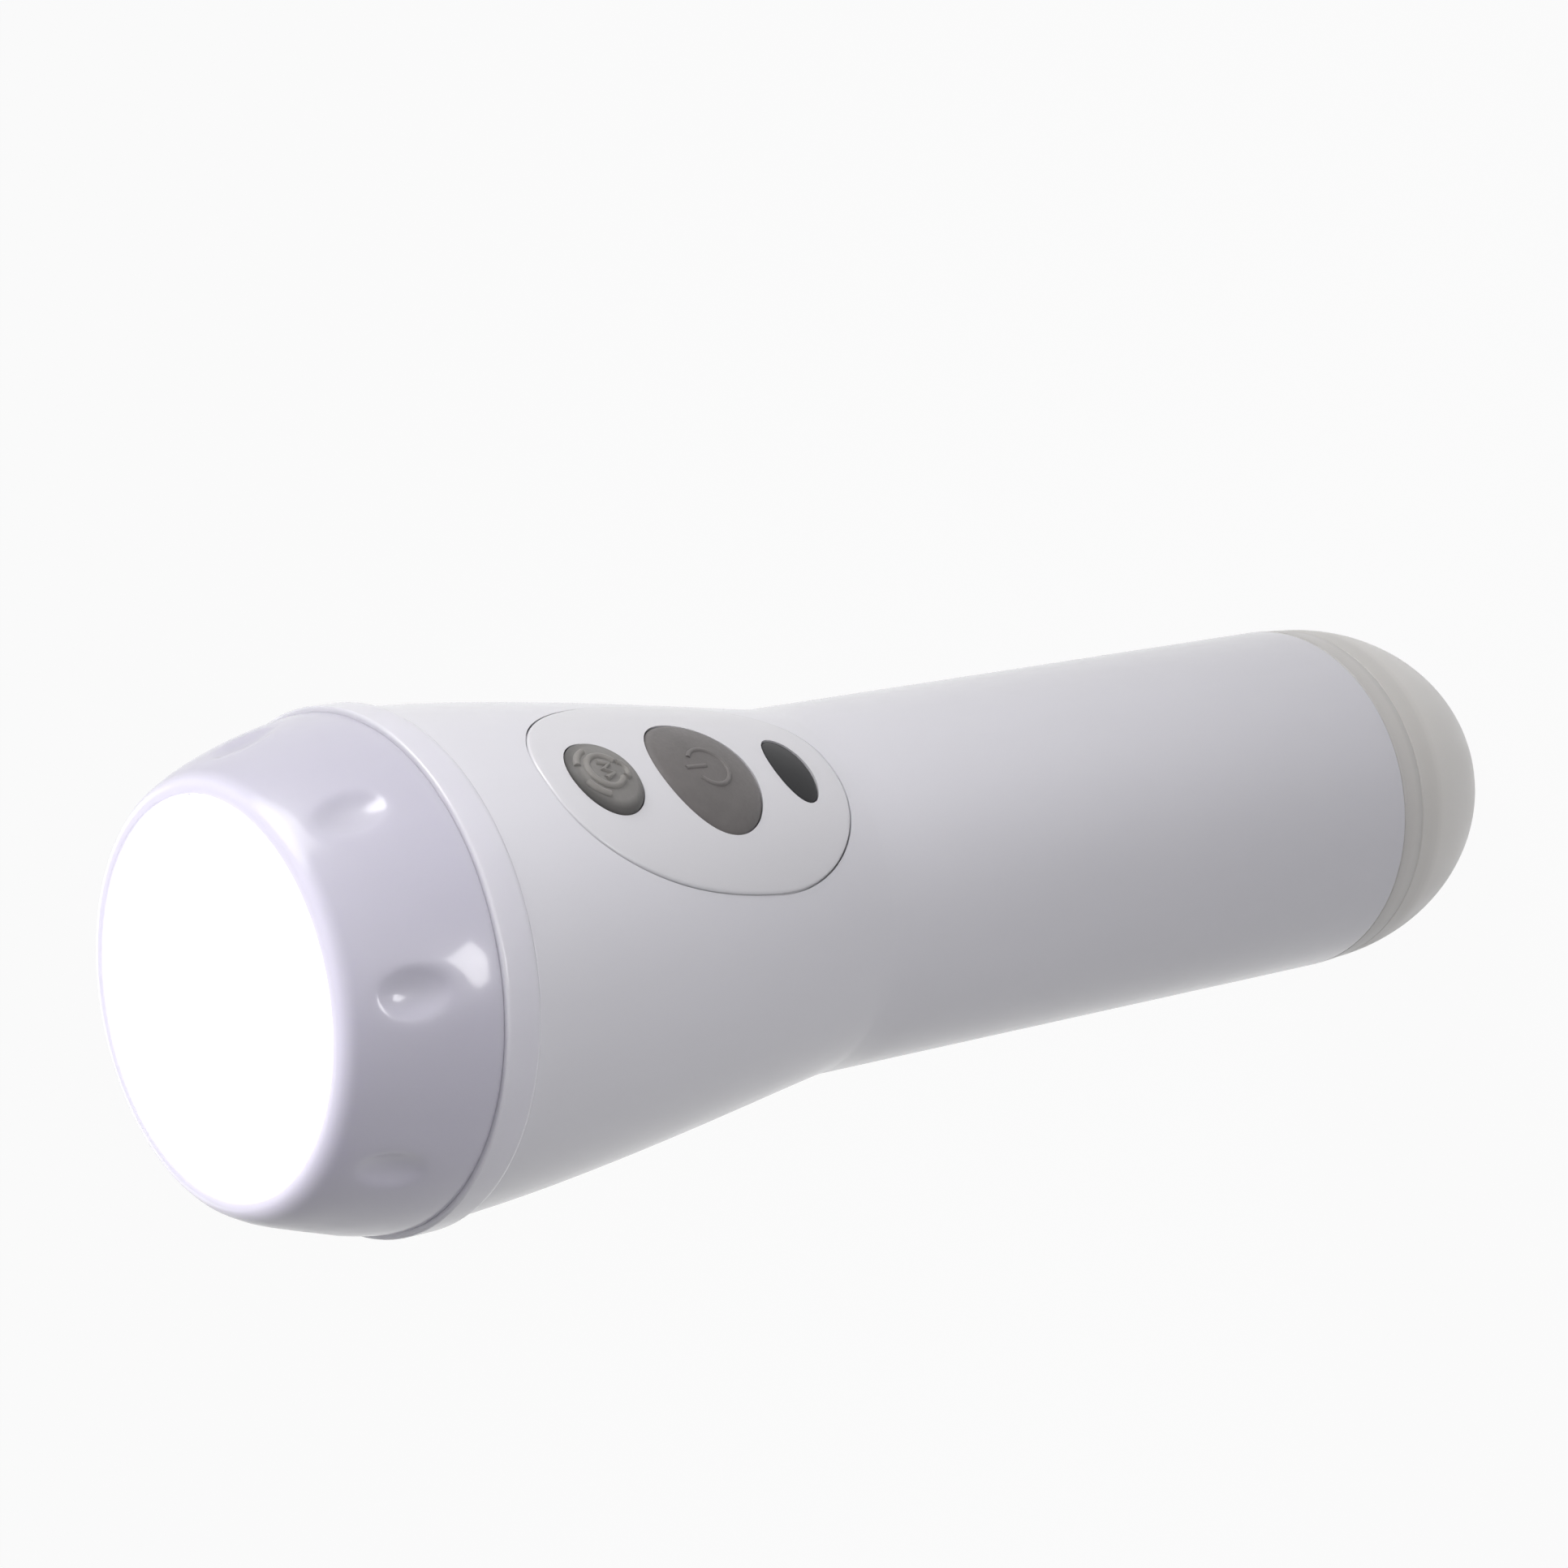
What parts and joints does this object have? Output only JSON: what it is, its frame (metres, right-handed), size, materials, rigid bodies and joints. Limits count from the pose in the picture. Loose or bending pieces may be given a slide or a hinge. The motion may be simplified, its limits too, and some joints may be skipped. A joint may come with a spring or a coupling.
{
  "type": "rechargeable flashlight",
  "caption": "Rechargeable hand torch with a flared body, dimpled head, flush oval control panel with push buttons, and a frosted night-light dome at the tail.",
  "frame": {"origin": "centre of the flat foot under the tail dome, which is the centre of the bounding box's base", "axes": "+Z along the torch from the tail dome to the front lens, -Y out of the middle of the control panel, +X to the right of the panel as seen with the lens up"},
  "size_m": [0.058, 0.058, 0.19],
  "materials": {
    "white_plastic": "smooth gloss white moulding",
    "milky_plastic": "smooth milky moulding that lets some light through",
    "frosted_plastic": "frosted translucent moulding",
    "lens_plastic": "clear to lightly diffusing plate",
    "grey_rubber": "satin mid grey",
    "dark_rubber": "satin dark grey",
    "seal_rubber": "plain black",
    "smoked_plastic": "smooth, nearly black, translucent",
    "reflector_coating": "bright mirror coating on a moulded bowl",
    "steel": "plain bright",
    "aluminium": "plain machined",
    "copper_winding": "enamelled copper wire",
    "circuit_board": "green lacquered board",
    "inner_plastic": "plain grey moulding",
    "black_plastic": "plain black moulding",
    "cell_wrap": "plain blue-green sleeve on a metal can",
    "ferrite": "dull dark sheet",
    "led_phosphor": "yellow phosphor under a clear cap",
    "wire_red": "plain sleeve",
    "wire_black": "plain sleeve"
  },
  "bodies": {
    "torch": {"front_lens": "lens_plastic", "lens_gasket": "seal_rubber", "head_shell": "milky_plastic", "head_seal": "seal_rubber", "collar_ring": "milky_plastic", "reflector": "reflector_coating", "main_led": "led_phosphor", "led_board": "circuit_board", "heat_spreader": "aluminium", "led_wire_red": "wire_red", "led_wire_black": "wire_black", "body_shell": "white_plastic", "control_panel": "white_plastic", "sensor_window": "smoked_plastic", "light_sensor": "smoked_plastic", "mode_switch": "black_plastic", "power_switch": "black_plastic", "main_board": "circuit_board", "board_screw_1": "steel", "board_screw_2": "steel", "board_screw_3": "steel", "board_screw_4": "steel", "chassis": "inner_plastic", "battery_holder": "black_plastic", "battery_cell_1": "cell_wrap", "battery_cell_2": "cell_wrap", "battery_cell_3": "cell_wrap", "contact_spring_1": "steel", "contact_spring_2": "steel", "contact_spring_3": "steel", "contact_plate_1": "steel", "contact_plate_2": "steel", "contact_plate_3": "steel", "pack_wire_red": "wire_red", "pack_wire_black": "wire_black", "tail_bulkhead": "inner_plastic", "tail_ring": "frosted_plastic", "night_dome": "frosted_plastic", "night_board": "circuit_board", "night_led_1": "led_phosphor", "night_led_2": "led_phosphor", "night_led_3": "led_phosphor", "tail_screw_1": "steel", "tail_screw_2": "steel", "tail_screw_3": "steel", "coil_carrier": "inner_plastic", "coil_ferrite": "ferrite", "charging_coil": "copper_winding", "coil_lead_1": "copper_winding", "coil_lead_2": "copper_winding", "tail_wire_1": "wire_black", "tail_wire_2": "wire_black"},
    "mode_key": {"mode_button": "grey_rubber", "mode_plunger": "inner_plastic"},
    "power_key": {"power_button": "dark_rubber", "power_plunger": "inner_plastic"}
  },
  "joints": [
    {"name": "mode_press", "type": "slide", "parent": "torch", "child": "mode_key", "axis": [0, 1, 0], "range_m": [0, 0.0006], "stiffness_N_per_m": 1500, "springref_m": -0.0005},
    {"name": "power_press", "type": "slide", "parent": "torch", "child": "power_key", "axis": [0, 1, 0], "range_m": [0, 0.0006], "stiffness_N_per_m": 1500, "springref_m": -0.0005}
  ]
}
